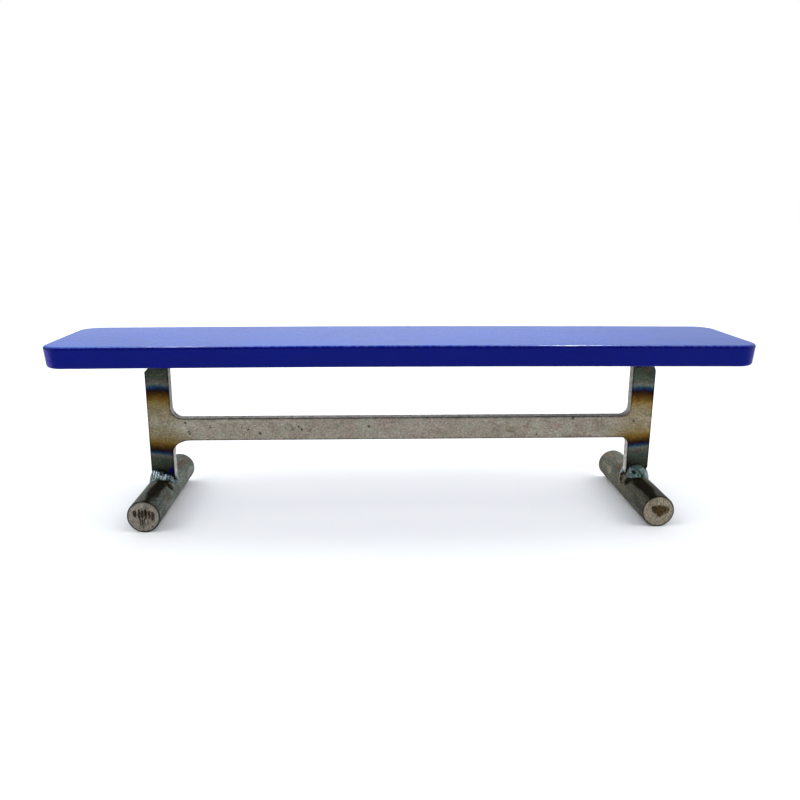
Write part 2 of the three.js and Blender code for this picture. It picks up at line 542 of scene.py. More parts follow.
def pit_mask(shader):
    """From 0 on sound steel to 1 in a pit: scattered small ones, and the named larger ones."""
    blots = shader.noise(1.15, roughness=0.62)
    crowded = shader.fit(shader.x, -75.0, -20.0, 0.05, 0.0)
    regions = shader.noise(0.17, detail=2.0)
    crowded = shader.plus(crowded, shader.vary(regions, -0.03, 0.05))
    small = shader.fade(shader.plus(blots, crowded), 0.66, 0.74)
    mask = shader.times(small, 0.6)
    jagged = shader.vary(shader.noise(2.6, detail=2.0), 0.65, 1.45)
    for x, z, radius in FRONT_PITS:
        away = shader.times(shader.distance_to((x, -SHEET_HALF, z)), jagged)
        spot = shader.fade(away, radius * 0.5, radius * 1.4, 1.0, 0.0)
        mask = shader.larger(mask, spot)
    return mask


def sheet_face(shader, heat, swirl, fine, pits):
    """The colour of the sheet's two faces: heat tint, streaks, stains and pits."""
    span = HEAT_HIGH - HEAT_LOW
    stops = [((at - HEAT_LOW) / span, colour) for at, colour in HEAT_COLOURS]
    face = shader.ramp(shader.fit(heat, HEAT_LOW, HEAT_HIGH), stops)
    # Darker over the left leg's outer part and lighter over the right leg.
    face = shader.shade(face, shader.fit(shader.x, -79.0, -66.0, 0.90, 1.0))
    face = shader.shade(face, shader.fit(shader.x, 62.0, 70.0, 1.0, 1.16))

    cloud = shader.noise(0.14, detail=5.0, roughness=0.6, distortion=0.9)
    warm = shader.mix(shader.vary(cloud, 0.0, 1.0, 0.12), (1.05, 0.99, 0.95), (0.97, 1.0, 0.97))
    face = shader.tinted(face, warm)
    flecks = shader.noise(0.8, roughness=0.7)
    pink = shader.mix(shader.vary(flecks, 0.0, 1.0, 0.12), (1.06, 0.98, 1.02), (0.95, 1.02, 0.97))
    face = shader.tinted(face, pink)
    face = shader.mottled(face, cloud, 0.84, 1.14)
    face = shader.mottled(face, swirl, 0.70, 1.27)
    face = shader.mottled(face, fine, 0.72, 1.28, 0.14)

    near_weld = shader.fade(heat, -2.4, -3.6)
    browned = shader.mix(shader.fade(swirl, 0.42, 0.60), (0.74, 1.03, 1.08), (1.18, 0.97, 0.78))
    face = shader.mix(near_weld, face, shader.tinted(face, browned))
    stained = shader.noise(0.33, shader.stretched(0.6, 1.0, 1.0), detail=5.0, roughness=0.65)
    stain = shader.times(shader.fade(stained, 0.54, 0.70), 0.5)
    face = shader.mix(stain, face, shader.tinted(face, STAIN))
    face = shader.mix(shader.times(pits, 0.88, clamp=True), face, PIT)
    blued = shader.plus(shader.distance_to(BLUED_CORNER), shader.vary(flecks, -0.7, 0.7))
    return shader.mix(shader.fade(blued, 0.3, 1.2, 1.0, 0.0), face, DEEP_BLUE)


def sheet_edge(shader, lines):
    """The colour of the sheet's cut edges, which are duller along the crossbar's top, with painted shade:
    the flanks darker towards the plate and the crossbar's top darker towards the right.
    """
    on_crossbar = shader.fade(shader.z, CROSSBAR_HIGH + 0.9, CROSSBAR_HIGH + 0.1)
    above = shader.fit(shader.z, CROSSBAR_HIGH - 1.5, CROSSBAR_HIGH - 0.7)
    on_crossbar = shader.times(on_crossbar, above)
    # Painted shade: the crossbar's top darkens towards the right.
    dull_shaded_top = shader.shade(CUT_STEEL_DULL, shader.fit(shader.x, -10.0, 70.0, 1.0, 0.52))
    # Painted shade: the cut flanks darken towards the plate above.
    flank = shader.shade(CUT_STEEL, shader.fit(shader.z, CROSSBAR_HIGH, sheet_high.z, 1.1, 0.8))
    edge = shader.mottled(shader.mix(on_crossbar, flank, dull_shaded_top), lines, 0.75, 1.2, 0.2)
    return shader.mottled(edge, shader.noise(0.9), 0.65, 1.2)


def steel_sheet():
    shader = Shader("bare_sheet")
    heat = heat_distance(shader)
    rolled = shader.stretched(1.0, 1.0, 2.4)
    swirl = shader.noise(0.42, rolled, detail=8.0, roughness=0.72, distortion=2.6)
    fine = shader.noise(1.9, detail=4.0, roughness=0.7)
    pits = pit_mask(shader)
    face = sheet_face(shader, heat, swirl, fine, pits)
    cut = shader.attribute("cut")
    lines = shader.noise(3.6, shader.stretched(1.0, 0.12, 1.0))
    colour = shader.mix(shader.fit(cut, 0.55, 0.95), face, sheet_edge(shader, lines))
    # Darker in a narrow, uneven band along the sheet's edges.
    uneven_rim = shader.vary(shader.noise(0.8), 0.3, 0.7, 0.2)
    rim = shader.times(shader.attribute("rim"), uneven_rim)
    colour = shader.shade(colour, shader.minus(1.0, rim))

    rough = shader.vary(shader.noise(0.7), 0.38, 0.52, 0.2)
    rough = shader.times(rough, shader.fit(heat, 0.0, 6.0, 0.82, 1.0))
    rough = shader.plus(rough, shader.times(cut, 0.2))
    height = shader.minus(shader.times(shader.plus(swirl, fine), 0.3), pits)
    normal = shader.bump(height, 0.03, strength=0.7)
    normal = shader.bump(shader.times(lines, cut), 0.05, normal, strength=0.6)
    metallic = shader.fit(cut, 0.5, 0.9, 1.0, 0.25)
    return shader.finish(colour, metallic, rough, OXIDE_IOR, normal)


def paint_colour(shader, level):
    """The paint's colour, with painted light and shade: a lighter top, darker flanks, a painted dark
    reflection just under the top edge and a painted band of light round each front corner.
    """
    aside = shader.math("ABSOLUTE", shader.x)
    # Painted light: a paler band round the rounded front corner at each end, stronger on the left.
    middle = shader.math("ABSOLUTE", shader.minus(aside, plate_high.x - CORNER_LIGHT_BAND))
    mottle = shader.vary(shader.noise(0.8), -0.4, 0.4)
    corner_light = shader.fade(shader.plus(middle, mottle), 0.0, 1.3, 1.0, 0.0)
    corner_light = shader.times(corner_light, shader.fit(shader.y, 4.0 - plate_high.y, 2.5 - plate_high.y))
    corner_light = shader.times(corner_light, shader.by_side(0.75, 0.1))
    flank = shader.mix(corner_light, PAINT_SHADED_FLANK, PAINT_CORNER_LIGHT)
    # Painted dark reflection just under the top edge.
    dark_reflection_mask = shader.fade(level, PLATE_TOP - 1.25, PLATE_TOP - 0.65)
    flank = shader.mix(dark_reflection_mask, flank, PAINT_DARK_REFLECTION)
    on_top = shader.fade(level, PLATE_TOP - 0.40, PLATE_TOP - 0.12)
    # Painted light and shade: the top is lit lighter than the flanks, and darkens towards the plate's right
    # end.
    top = shader.shade(PAINT_LIT_TOP, shader.fade(shader.x, 40.0, 100.0, 1.0, 0.82))
    colour = shader.mix(on_top, flank, top)
    speck = shader.distance_to(PAINT_SPECK)
    colour = shader.shade(colour, shader.fade(speck, 0.25, 0.6, 0.35, 1.0))
    return shader.mottled(colour, shader.noise(0.05), 0.93, 1.07, 0.2)


def blue_paint():
    shader = Shader("blue_paint")
    reach = shader.math("DIVIDE", shader.x, plate_high.x)
    level = shader.math("MULTIPLY_ADD", shader.times(reach, reach), PLATE_BOW, shader.z)
    rough = shader.vary(shader.noise(0.25), 0.10, 0.17, 0.2)
    dashes = shader.fit(shader.noise(0.85, shader.stretched(1.0, 0.0, 0.0), detail=2.0), 0.48, 0.56)
    edge = shader.fit(level, PLATE_TOP - 1.0, PLATE_TOP - 0.7)
    edge = shader.times(edge, shader.fit(level, PLATE_TOP - 0.06, PLATE_TOP - 0.03, 1.0, 0.0))
    rough = shader.math("MULTIPLY_ADD", shader.times(dashes, edge), 0.45, rough)
    peel = shader.noise(0.55, detail=2.0, roughness=0.45)
    nibs = shader.fade(shader.cells(0.14)[0], 0.0, 0.05, 1.0, 0.0)
    normal = shader.bump(nibs, 0.04, shader.bump(peel, 0.05, strength=0.5))
    return shader.finish(paint_colour(shader, level), 0.0, rough, PAINT_IOR, normal)


def scorch_and_shade_mask(shader):
    """From 0 on plain mill scale to 1 on the dark strip along a bar's top, partly burnt and partly a
    painted reflection of the leg above, and on the dark spots beside the front beads, partly burnt and
    partly painted shade.
    """
    ragged = shader.noise(0.55, shader.stretched(1.0, 0.22, 1.0), detail=4.0)
    stray = shader.vary(ragged, -0.55, 0.40)
    mask = 0.0
    for side, (middle, front, rear_share) in SCORCH_AND_REFLECTION_STRIPS.items():
        bar = BARS[side]
        offset = shader.fit(shader.y, -bar.half, 0.0, front[0], middle[0])
        half_width = shader.fit(shader.y, -bar.half, -5.0, front[1], middle[1])
        away = shader.minus(shader.minus(shader.x, bar.x), offset)
        away = shader.minus(shader.math("ABSOLUTE", away), half_width)
        strip = shader.fade(shader.plus(away, stray), -0.2, 1.1, 1.0, 0.0)
        strip = shader.times(strip, shader.fit(shader.z, bar.radius, bar.radius + 2.0))
        strip = shader.times(strip, shader.fit(shader.y, 0.0, 4.0, 1.0, rear_share))
        mask = shader.larger(mask, strip)
    for centre, radius in BURN_AND_SHADE_SPOTS:
        spot = shader.fade(shader.distance_to(centre), radius * 0.6, radius * 1.5, 1.0, 0.0)
        mask = shader.larger(mask, spot)
    blotched = shader.noise(0.9, detail=4.0, roughness=0.65)
    return shader.times(mask, shader.fit(blotched, 0.36, 0.56, 0.84, 1.2), clamp=True)


def bar_skin(shader, patches, fine):
    """The colour of a bar's round skin, with painted shade towards its front end, without its specks and
    its dark strip and spots.
    """
    left = shader.ramp(patches, [
        (0.36, (0.122, 0.096, 0.072)),
        (0.45, (0.116, 0.118, 0.094)),
        (0.52, (0.118, 0.142, 0.120)),
        (0.60, (0.178, 0.192, 0.160)),
        (0.68, (0.150, 0.130, 0.100)),
    ])
    right = shader.ramp(patches, [
        (0.36, (0.096, 0.064, 0.042)),
        (0.46, (0.066, 0.071, 0.055)),
        (0.54, (0.080, 0.077, 0.054)),
        (0.62, (0.130, 0.116, 0.084)),
    ])
    # Painted shade and light: each bar darker towards its front end, the right bar lighter towards its
    # rear.
    left = shader.shade(left, shader.fit(shader.y, -18.0, -10.0, 0.56, 0.80))
    right = shader.shade(right, shader.fit(shader.y, -18.0, 4.0, 0.52, 1.30))
    colour = shader.mix(shader.by_side(), left, right)
    drawn = shader.noise(1.0, shader.stretched(1.0, 0.08, 1.0), detail=4.0)
    colour = shader.mottled(colour, drawn, 0.80, 1.20)
    return shader.mottled(colour, fine, 0.50, 1.50)


def bar_end(shader, sawn, fine):
    """The colour of a bar's sawn end, with rust in its torn grooves."""
    bare = shader.ramp(sawn, [
        (0.36, (0.110, 0.092, 0.070)),
        (0.46, (0.215, 0.194, 0.160)),
        (0.56, (0.285, 0.258, 0.218)),
        (0.66, (0.460, 0.430, 0.385)),
    ])
    bare = shader.tinted(bare, shader.mix(shader.by_side(), (1.0, 1.0, 1.0), (1.12, 1.08, 0.96)))
    rusty = shader.mottled(shader.mix(shader.by_side(), RUST[-1], RUST[1]), fine, 0.4, 1.7)
    rust = shader.times(shader.attribute("rust"), shader.fit(sawn, 0.64, 0.48, 0.85, 1.0))
    return shader.mix(rust, bare, rusty)


def mill_scale():
    shader = Shader("mill_scale_bar")
    drawn_out = shader.stretched(1.0, 0.45, 1.0)
    patches = shader.noise(0.22, drawn_out, detail=6.0, roughness=0.65, distortion=0.5)
    fine = shader.noise(1.6, detail=4.0, roughness=0.75)
    specks = shader.specks(1.0, 0.62, 0.12, 0.3)
    scorch_and_shade = scorch_and_shade_mask(shader)
    colour = bar_skin(shader, patches, fine)
    colour = shader.mix(shader.times(specks, 0.6), colour, (0.018, 0.014, 0.010))
    # Painted reflection and shade: the dark strip and spots, mixed over the scale.
    colour = shader.mix(scorch_and_shade, colour, shader.mottled(SCORCH_AND_PAINTED_SHADE, fine, 0.5, 1.5))

    end = shader.attribute("end")
    sawn = shader.noise(2.3, shader.stretched(1.0, 1.0, 0.45), detail=6.0, roughness=0.75)
    colour = shader.mix(shader.fit(end, 0.5, 0.9), colour, bar_end(shader, sawn, fine))
    rim = shader.fit(shader.math("ABSOLUTE", shader.minus(end, END_RIM)), 0.0, 0.4, 1.0, 0.0)
    rim = shader.times(rim, shader.by_side(0.65, 0.30))
    colour = shader.shade(colour, shader.minus(1.0, rim))

    rough = shader.plus(shader.vary(patches, 0.60, 0.45), shader.times(scorch_and_shade, 0.3))
    metallic = shader.fit(end, 0.5, 0.9, 0.1, 1.0)
    height = shader.plus(shader.times(patches, 0.5), shader.times(sawn, end))
    height = shader.minus(shader.plus(height, shader.times(fine, 0.4)), specks)
    normal = shader.bump(height, 0.05, strength=0.8)
    return shader.finish(colour, metallic, rough, OXIDE_IOR, normal)


def weld_metal():
    shader = Shader("weld_metal")
    even = shader.attribute("even")
    cloud = shader.noise(0.55, detail=4.0, distortion=0.6)
    valley = shader.ramp(cloud, [
        (0.32, (0.030, 0.028, 0.022)),
        (0.46, (0.050, 0.066, 0.066)),
        (0.60, (0.090, 0.135, 0.140)),
        (0.74, (0.040, 0.066, 0.120)),
    ])
    valley = shader.mix(even, valley, shader.mottled(DOME_TEAL, cloud, 0.45, 2.3, 0.12))
    # Painted highlights: the bright colours of the ripple crests.
    ridge = shader.ramp(cloud, [
        (0.32, (0.22, 0.24, 0.22)),
        (0.50, (0.42, 0.52, 0.56)),
        (0.68, (0.72, 0.80, 0.84)),
    ])
    colour = shader.mix(shader.attribute("painted_crest_glint"), valley, ridge)
    golden = shader.ramp(cloud, [(0.38, (0.085, 0.058, 0.024)), (0.60, (0.19, 0.145, 0.085))])
    colour = shader.mix(shader.attribute("gilt"), colour, golden)
    fine = shader.noise(2.4, detail=4.0, roughness=0.7)
    colour = shader.mottled(colour, fine, 0.6, 1.4)
    pores = shader.specks(1.1, 0.66, 0.10, 0.26)
    dark = shader.larger(shader.times(pores, 0.8), shader.attribute("hollow"))
    colour = shader.mix(dark, colour, (0.010, 0.010, 0.009))
    rough = shader.vary(shader.noise(1.4), 0.20, 0.36, 0.2)
    rough = shader.math("MULTIPLY_ADD", even, 0.2, rough)
    metallic = shader.fit(even, 0.0, 1.0, 1.0, 0.35)
    normal = shader.bump(shader.minus(shader.times(fine, 0.6), pores), 0.10, strength=0.7)
    return shader.finish(colour, metallic, rough, OXIDE_IOR, normal)


PAINT = blue_paint()
SHEET = steel_sheet()
SCALE = mill_scale()
WELD = weld_metal()

# ---------------------------------------------------------------- top plate


def make_plate():
    half_x = plate_high.x
    half_y = plate_high.y
    cx = half_x - PLATE_CORNER
    cy = half_y - PLATE_CORNER
    corners = []
    for sx, sy, start in ((1, -1, -90), (1, 1, 0), (-1, 1, 90), (-1, -1, 180)):
        corners.extend(arc(sx * cx, sy * cy, PLATE_CORNER, start, start + 90, 18))
    outline = dense(corners, PLATE_GRID)

    top_round = quarter_round(PLATE_TOP_ROUND, 7)
    bottom_round = quarter_round(PLATE_BOTTOM_ROUND, 7)
    levels = [(inset + PLATE_LEAN, PLATE_UNDERSIDE + depth) for inset, depth in reversed(bottom_round)]
    levels += [(inset, PLATE_TOP - depth) for inset, depth in top_round]
    first, last = levels[0], levels[-1]
    levels = [(first[0] + 0.25, first[1])] + levels + [(last[0] + 0.25, last[1])]
    bm = slab(outline, levels, lambda u, v, height: Vector((u, v, height)), PLATE_GRID)
    for vert in bm.verts:
        vert.co.z -= 0.02 * (1 + wobble(vert.co, 0.05, 3)) * (1 if vert.co.z > PLATE_TOP - 2 else -1)
        vert.co.z -= PLATE_BOW * (vert.co.x / half_x) ** 2
        vert.co.x *= 1 - 0.00025 * (1 + wobble(vert.co, 0.12, 5))
        vert.co.y *= 1 - 0.0006 * (1 + wobble(vert.co, 0.12, 8))
    add_piece("painted_plate", bm, PAINT, "top_plate")


# ---------------------------------------------------------------- frame


def oval(cx, cz, reach_x, reach_z, start, end, count):
    """Points on a quarter of an oval, angles in degrees, both ends included."""
    return [(cx + reach_x * x, cz + reach_z * z) for x, z in arc(0, 0, 1, start, end, count)]


# The outer top corners, as (inset, drop) from the square corner: a flat cut left, a rounded one right.
HEADS = {
    -1: [(0.0, 4.5), (4.5, 0.0)],
    1: [(0.0, 4.9), (0.2, 4.1), (0.6, 3.4), (1.2, 2.8), (4.0, 0.0)],
}
# How much wider each leg is at its foot than in the CAD outline.
FLARES = {-1: 0.3, 1: 0.12}
# The fillets between leg and crossbar: the upper one's radius, and the lower one's reach in x and z.
FILLETS = {-1: (3.4, 5.6, 3.7), 1: (2.7, 2.2, 2.4)}


def sheet_side(side):
    """Half of the frame's outline as if it lay right, from under the crossbar round a leg to its top."""
    upper, fillet_x, fillet_z = FILLETS[side]
    points = [(0, CROSSBAR_LOW)]
    points += oval(LEG_INNER - fillet_x, CROSSBAR_LOW - fillet_z, fillet_x, fillet_z, 90, 0, 16)
    points += [
        (LEG_INNER, sheet_low.z),
        (FOOT_OUTER + FLARES[side], sheet_low.z),
        (LEG_BOTTOM_OUTER + FLARES[side], sheet_low.z + BOTTOM_CORNER_HEIGHT),
    ]
    points += [(LEG_TOP_OUTER - inset, sheet_high.z - drop) for inset, drop in HEADS[side]]
    points.append((LEG_INNER, sheet_high.z))
    points += arc(LEG_INNER - upper, CROSSBAR_HIGH + upper, upper, 0, -90, 14)
    points.append((0, CROSSBAR_HIGH))
    return points


def sheet_outline():
    """The frame's outline, anticlockwise from the middle of its lower edge."""
    left = [(-x, z) for x, z in reversed(sheet_side(-1)[1:-1])]
    return dense(sheet_side(1) + left, SHEET_GRID)


def edge_finder(outline):
    """A search tree over closely spaced points of the outline."""
    points = dense(outline, 0.08)
    tree = KDTree(len(points))
    for i, point in enumerate(points):
        tree.insert((point.x, point.y, 0), i)
    tree.balance()
    return tree


def make_sheet():
    edge = quarter_round(SHEET_EDGE_ROUND, 3)
    flank = SHEET_HALF - SHEET_EDGE_ROUND
    levels = [(inset, depth - SHEET_HALF) for inset, depth in reversed(edge)]
    levels += [(0, flank * t) for t in (-0.9, -0.6, -0.2, 0.2, 0.6, 0.9)]
    levels += [(inset, SHEET_HALF - depth) for inset, depth in edge]
    margins = (RIM_WIDTH * 1.5, RIM_WIDTH, RIM_WIDTH * 0.5)
    back = [(levels[0][0] + margin, levels[0][1]) for margin in margins]
    front = [(levels[-1][0] + margin, levels[-1][1]) for margin in reversed(margins)]
    outline = sheet_outline()
    bm = slab(outline, back + levels + front, lambda u, v, height: Vector((u, -height, v)), SHEET_GRID)
    cut = bm.verts.layers.float.new("cut")
    rim = bm.verts.layers.float.new("rim")
    nearest = edge_finder(outline)
    for vert in bm.verts:
        depth = SHEET_HALF - abs(vert.co.y)
        distance = nearest.find((vert.co.x, vert.co.z, 0))[2]
        vert[cut] = min(1.0, depth / SHEET_EDGE_ROUND) if depth > TOUCHING else 0.0
        inside = max(0.0, distance - SHEET_EDGE_ROUND)
        vert[rim] = max(0.0, 1 - inside / (RIM_WIDTH * 1.5)) * max(0.0, 1 - depth / 0.5)
        if abs(vert.co.y) < flank - TOUCHING:
            ripple = 0.03 * wobble((vert.co.x, 0.25 * vert.co.y, vert.co.z), 1.1, 2)
            vert.co.x += ripple - 0.03 * math.copysign(1, vert.co.x)
            vert.co.z += ripple if sheet_low.z + 1 < vert.co.z < sheet_high.z - 1 else 0
        vert.co.y *= 1 - 0.008 * (1 + wobble(vert.co, 0.08, 4))
    add_piece("sheet_frame", bm, SHEET, "bench_frame")


# ---------------------------------------------------------------- foot bars

# Steps across the grid that fills a bar's end, and so along each quarter of its skin.
BAR_STEPS = 56

# Torn grooves in the sawn front ends: place across and up from the middle, half height, half width.
LEFT_GROOVES = [
    (-2.42, 1.00, 1.35, 0.60),
    (-1.24, 0.80, 1.80, 0.54),
    (-0.32, 0.85, 1.90, 0.53),
    (0.64, 0.80, 1.80, 0.53),
    (1.62, 0.52, 1.50, 0.46),
    (2.62, 0.12, 1.65, 0.60),
    (-0.95, -1.45, 1.70, 0.22),
    (-0.35, -1.90, 2.00, 0.28),
    (0.25, -1.60, 1.60, 0.20),
    (1.15, -1.50, 1.10, 0.16),
    (2.35, -3.05, 0.30, 0.26),
]
RIGHT_GROOVES = [
    (0.20, 0.35, 1.85, 1.75),
    (-0.95, 0.55, 1.20, 1.00),
    (0.45, -0.55, 1.35, 1.20),
    (1.50, 0.30, 1.75, 0.50),
    (2.10, 0.30, 1.50, 0.36),
    (2.65, 0.45, 1.20, 0.28),
    (3.10, 0.60, 0.80, 0.20),
    (-1.75, 1.10, 0.65, 0.40),
]
GROOVES = {-1: LEFT_GROOVES, 1: RIGHT_GROOVES}


def groove_at(x, z, grooves):
    """From 0 on the plain cut to 1 in the middle of a groove."""
    deepest = 0.0
    for gx, gz, half_height, half_width in grooves:
        ragged = 1 + 0.35 * wobble((x, z, gx), 2.2, 9)
        across = (x - gx) / (half_width * ragged)
        along = (z - gz) / (half_height * ragged)
        deepest = max(deepest, 1 - across * across - along * along)
    return min(1.0, 2.0 * deepest)


def disc_points(count):
    """Points of a square grid bent to fill a circle of radius one, row by row."""
    steps = [2 * i / count - 1 for i in range(count + 1)]
    return [[(a * math.sqrt(1 - b * b / 2), b * math.sqrt(1 - a * a / 2)) for a in steps] for b in steps]


def disc_border(count):
    """Row and column of the grid's border points, anticlockwise from its lower left."""
    border = [(0, i) for i in range(count)]
    border += [(i, count) for i in range(count)]
    border += [(count, count - i) for i in range(count)]
    border += [(count - i, 0) for i in range(count)]
    return border


def bar_rings(half):
    """(share of the radius lost, place along the bar) for each ring, front to back."""
    rounded = quarter_round(BAR_END_ROUND, 3)
    front = [(inset, depth - half) for inset, depth in reversed(rounded)]
    count = 54
    reach = half - BAR_END_ROUND - 0.3
    body = [(0.0, reach * (2 * i / count - 1)) for i in range(count + 1)]
    back = [(inset, half - depth) for inset, depth in rounded]
    return front + body + back


def add_cap(bm, bar, ring, grooves, seed):
    """Adds a bar's sawn end, with its saw marks and grooves, and returns the points of its border."""
    inset, y = ring
    end_layer = bm.verts.layers.float["end"]
    rust_layer = bm.verts.layers.float["rust"]
    out = math.copysign(1, y)
    radius = bar.radius - inset
    rows = []
    for line in disc_points(BAR_STEPS):
        row = []
        for a, b in line:
            x, z = a * radius, b * radius
            deep = groove_at(x, z, grooves)
            inside = min(1.0, 5 * (1 - math.hypot(a, b)))
            marks = 0.018 * wobble((x * 3.0, z * 0.25, 0), 1.0, seed)
            marks += 0.012 * wobble((x, z, 0), 0.8, seed + 1)
            push = inside * (marks - 0.02) - 0.10 * deep
            vert = bm.verts.new((bar.x + x, y + out * push, bar.radius + z))
            vert[end_layer] = min(1.0, 0.5 + inside)
            vert[rust_layer] = deep
            row.append(vert)
        rows.append(row)
    for low, high in zip(rows, rows[1:]):
        for i in range(BAR_STEPS):
            bm.faces.new((low[i], low[i + 1], high[i + 1], high[i]))
    return [rows[r][c] for r, c in disc_border(BAR_STEPS)]


def make_bar(side):
    bar = BARS[side]
    word = SIDE_WORDS[side]
    bm = bmesh.new()
    bm.verts.layers.float.new("end")
    bm.verts.layers.float.new("rust")
    end_layer = bm.verts.layers.float["end"]
    points = disc_points(BAR_STEPS)
    rings = bar_rings(bar.half)
    loops = [add_cap(bm, bar, rings[0], GROOVES[side], 11 + side)]
    for inset, y in rings[1:-1]:
        loop = []
        for r, c in disc_border(BAR_STEPS):
            a, b = points[r][c]
            lump = 0.03 * wobble((a * 4, y * 0.12, b * 4), 0.8, 14 + side) - 0.03
            radius = bar.radius - inset + lump * min(1.0, 3 * abs(b + 1))
            vert = bm.verts.new((bar.x + a * radius, y, bar.radius + b * radius))
            vert[end_layer] = END_RIM if inset > 0 else 0.0
            loop.append(vert)
        loops.append(loop)
    loops.append(add_cap(bm, bar, rings[-1], [], 21 + side))
    bridge(bm, loops)
    add_piece(f"{word}_round_bar", bm, SCALE, f"{word}_foot_bar")


# ---------------------------------------------------------------- weld beads


class Bead:
    """How a bead's surface looks: its ripples, roughness, pits and colour."""

    def __init__(self, seed, ripple=0.2, pitch=0.95, slant=0.0, rough=0.14, even=0.0, gilt=0.0, hollows=()):
        self.seed = seed
        self.ripple = ripple
        self.pitch = pitch
        self.slant = slant
        self.rough = rough
        self.even = even
        self.gilt = gilt
        self.hollows = hollows

    def wave(self, length, v):
        """From 0 in a ripple's valley to 1 on its crest."""
        drift = 0.35 * wobble((length, 0.0, self.seed), 0.7, self.seed)
        phase = length / self.pitch + self.slant * v + 0.5 * (v - 0.5) ** 2 + drift
        return abs(math.sin(math.pi * phase))

    def hollow_at(self, point):
        """From 0 on the plain bead to 1 in the middle of a pit."""
        deepest = 0.0
        for x, z, reach_x, reach_z in self.hollows:
            away = math.hypot((point.x - x) / reach_x, (point.z - z) / reach_z)
            deepest = max(deepest, 1 - away * (1 + 0.3 * wobble(point, 1.7, self.seed)))
        return min(1.0, 2.2 * deepest)


# Faces across a bead, from one toe to the other.
BEAD_FACES = 18


def add_bead(bm, stations, look):
    """Adds one closed bead. Each station is (first toe, second toe, root, bulge, painted glint) along its
    run; the painted glint lightens the ripple crests as a painted highlight.
    """
    for name in ("painted_crest_glint", "hollow", "gilt", "even"):
        bm.verts.layers.float.new(name)
    layers = bm.verts.layers.float
    rows = []
    count = len(stations)
    length = 0.0
    previous = None
    for k, (toe_a, toe_b, root, bulge, painted_glint) in enumerate(stations):
        middle = (toe_a + toe_b) / 2
        if previous is not None:
            length += (middle - previous).length
        previous = middle
        out = (middle - root).normalized()
        end = math.sin(math.pi * k / (count - 1)) ** 0.3 if 0 < k < count - 1 else 0.0
        row = []
        for i in range(BEAD_FACES + 1):
            v = i / BEAD_FACES
            crown = math.sin(math.pi * v) ** 0.8 if 0 < i < BEAD_FACES else 0.0
            point = toe_a.lerp(toe_b, v) + out * (bulge * crown * end)
            wave = look.wave(length, v)
            lump = wobble(point, 0.9, look.seed) + 0.5 * wobble(point, 2.1, look.seed + 3)
            pit = look.hollow_at(point)
            lift = look.ripple * (wave - 0.6) + look.rough * lump - 0.45 * pit
            point += out * crown * end * lift
            vert = bm.verts.new(point)
            # Painted highlight, strongest on the crests of the ripples.
            glint = painted_glint * wave**3 * (0.6 + 0.9 * lump) * (0.2 + crown)
            vert[layers["painted_crest_glint"]] = max(0.0, min(1.0, glint))
            vert[layers["hollow"]] = max(0.0, pit)
            vert[layers["even"]] = look.even
            vert[layers["gilt"]] = look.gilt * min(1.0, 0.6 + 0.8 * k / (count - 1))
            row.append(vert)
        row.append(bm.verts.new(root))
        rows.append(row)
    bridge(bm, rows)
    for row in (rows[0], rows[-1]):
        bm.faces.new(row)


def run(count, least):
    """Even steps from -1 to 1 along a bead, each with its share of the bead's full size.

    The share is 1 in the middle and falls steeply at both ends, but not below the least one.
    """
    for k in range(count):
        t = 2 * k / (count - 1) - 1
        yield t, max(least, (1 - abs(t) ** 3) ** 0.5)


def between(x, stops):
    """The values at x, read off straight lines between the stops (x, value, value...)."""
    for near, far in zip(stops, stops[1:]):
        if x <= far[0]:
            break
    t = min(1.0, max(0.0, (x - near[0]) / (far[0] - near[0])))
    return [a + (b - a) * t for a, b in zip(near[1:], far[1:])]


# The front foot beads, as (x, height up the leg, reach along the bar, bulge, strength of the highlight
# painted on the ripple crests).
LEFT_FRONT_BEAD = [
    (-78.7, 0.10, 0.30, 0.10, 0.2),
    (-78.3, 1.60, 1.60, 0.35, 0.2),
    (-77.4, 3.00, 2.70, 0.60, 0.5),
    (-76.5, 2.90, 3.00, 0.70, 1.3),
    (-75.0, 2.60, 3.30, 0.80, 1.2),
    (-74.0, 2.30, 2.80, 0.70, 0.9),
    (-73.3, 2.00, 2.00, 0.35, 0.7),
    (-72.4, 2.00, 1.40, 0.55, 0.1),
    (-71.4, 2.00, 1.10, 0.60, 0.1),
    (-70.7, 0.10, 0.20, 0.10, 0.0),
]
RIGHT_FRONT_BEAD = [
    (70.9, 0.10, 0.30, 0.05, 0.0),
    (71.2, 2.20, 1.80, 0.55, 0.2),
    (71.8, 2.55, 3.20, 0.85, 0.2),
    (72.8, 2.60, 4.10, 1.10, 0.0),
    (74.0, 2.70, 4.40, 1.25, 0.1),
    (75.4, 2.75, 4.00, 1.15, 0.0),
    (76.4, 2.40, 3.00, 0.90, 0.1),
    (77.1, 1.80, 1.90, 0.55, 0.2),
    (77.6, 0.10, 0.30, 0.10, 0.0),
]
FRONT_BEADS = {-1: LEFT_FRONT_BEAD, 1: RIGHT_FRONT_BEAD}
LEFT_HOLLOWS = [(-73.2, 11.7, 1.0, 0.9), (-70.9, 9.3, 0.5, 0.5)]
RIGHT_HOLLOWS = [(72.5, 10.8, 0.65, 0.50), (74.5, 9.9, 0.50, 0.60), (73.4, 10.2, 0.3, 0.3)]
FRONT_LOOKS = {
    -1: Bead(41, ripple=0.28, pitch=0.92, slant=0.55, rough=0.26, hollows=LEFT_HOLLOWS),
    1: Bead(47, ripple=0.05, pitch=1.1, slant=0.2, rough=0.10, even=0.85, hollows=RIGHT_HOLLOWS),
}


# How deep the toes and roots of the beads sink into the sheet, the bars and the plate.
TOE_SINK = 0.05
SHEET_SINK = 0.6
BAR_SINK = 0.5
PLATE_SINK = 0.4
PLATE_TOE_SINK = 0.08


